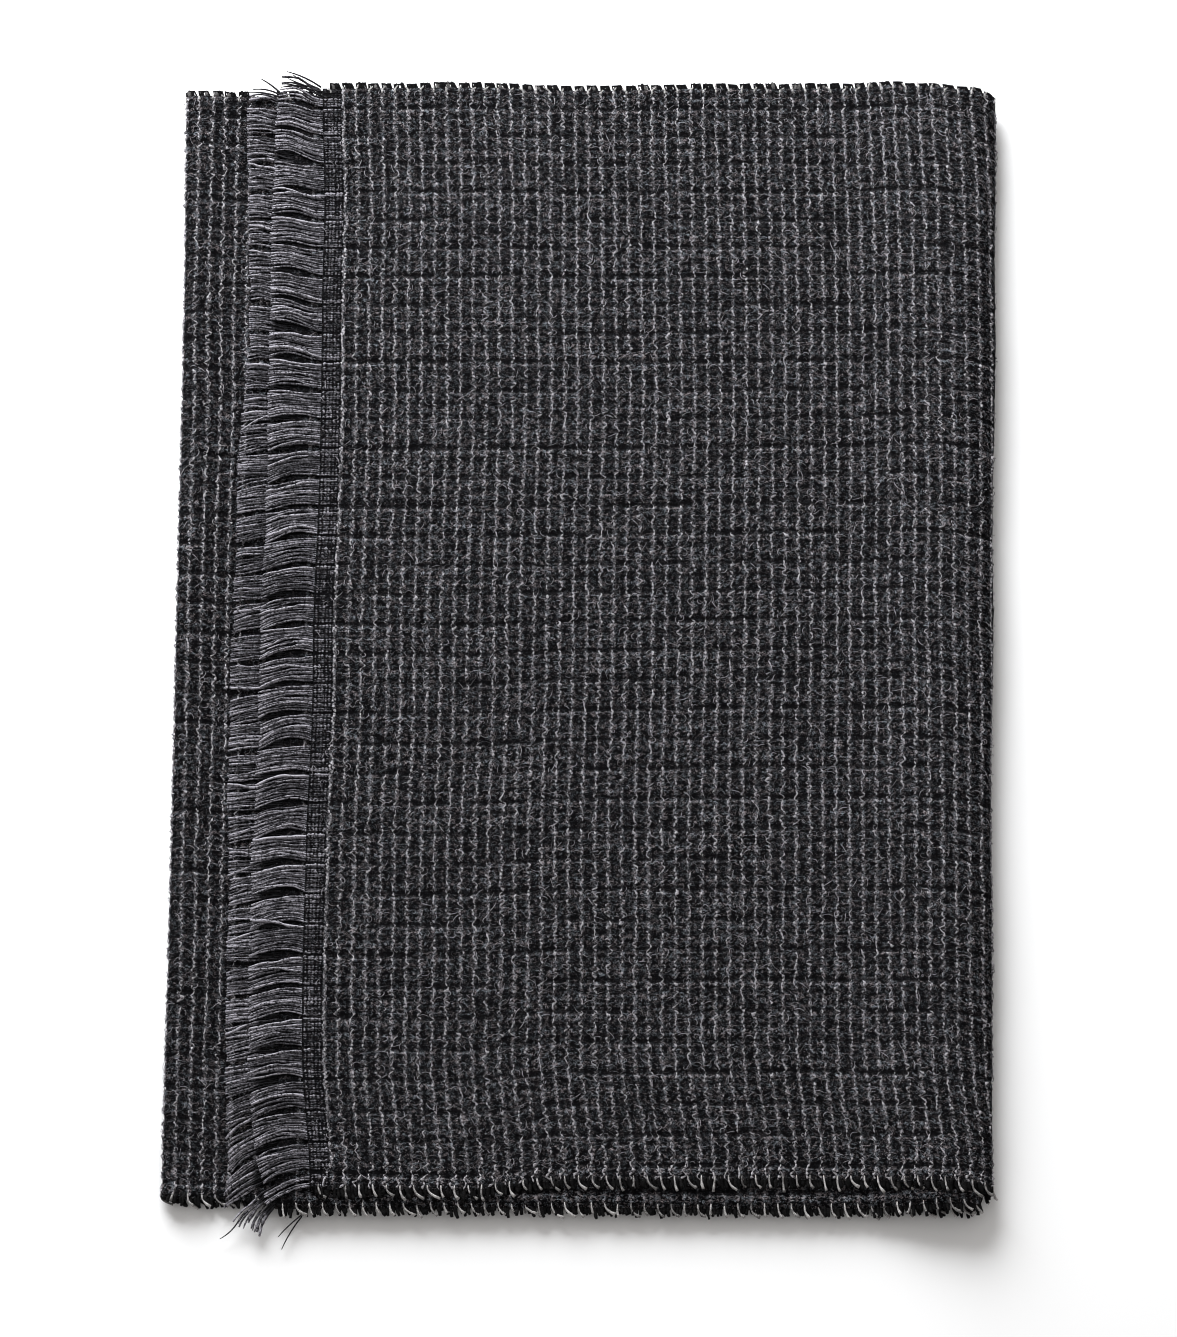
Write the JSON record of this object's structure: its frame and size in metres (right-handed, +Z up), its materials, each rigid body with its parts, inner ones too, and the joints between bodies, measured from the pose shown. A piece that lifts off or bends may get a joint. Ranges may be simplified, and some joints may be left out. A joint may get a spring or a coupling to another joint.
{
  "type": "foulard scarf",
  "caption": "Long woven wool stole with fringed ends, folded in half twice into a flat stack, lying on a table.",
  "frame": {"origin": "on the table, under the middle of the folded stack's box", "axes": "+Z up from the table; +Y along the weft, from the near selvedge to the far one; +X along the warp, from the left fold towards the thick right fold"},
  "size_m": [0.4841, 0.728, 0.0228],
  "materials": {
    "wool_cloth": "matt black and charcoal wool with thin light grey weft lines, slightly hairy",
    "fringe_yarn": "matt mid grey worsted yarn, lying in loose bundles"
  },
  "bodies": {
    "root": {"top_layer": "wool_cloth", "top_fringe": "fringe_yarn", "under_fringe": "fringe_yarn", "left_fold": "wool_cloth", "hidden_layers": "wool_cloth", "bottom_layer": "wool_cloth"}
  },
  "joints": []
}
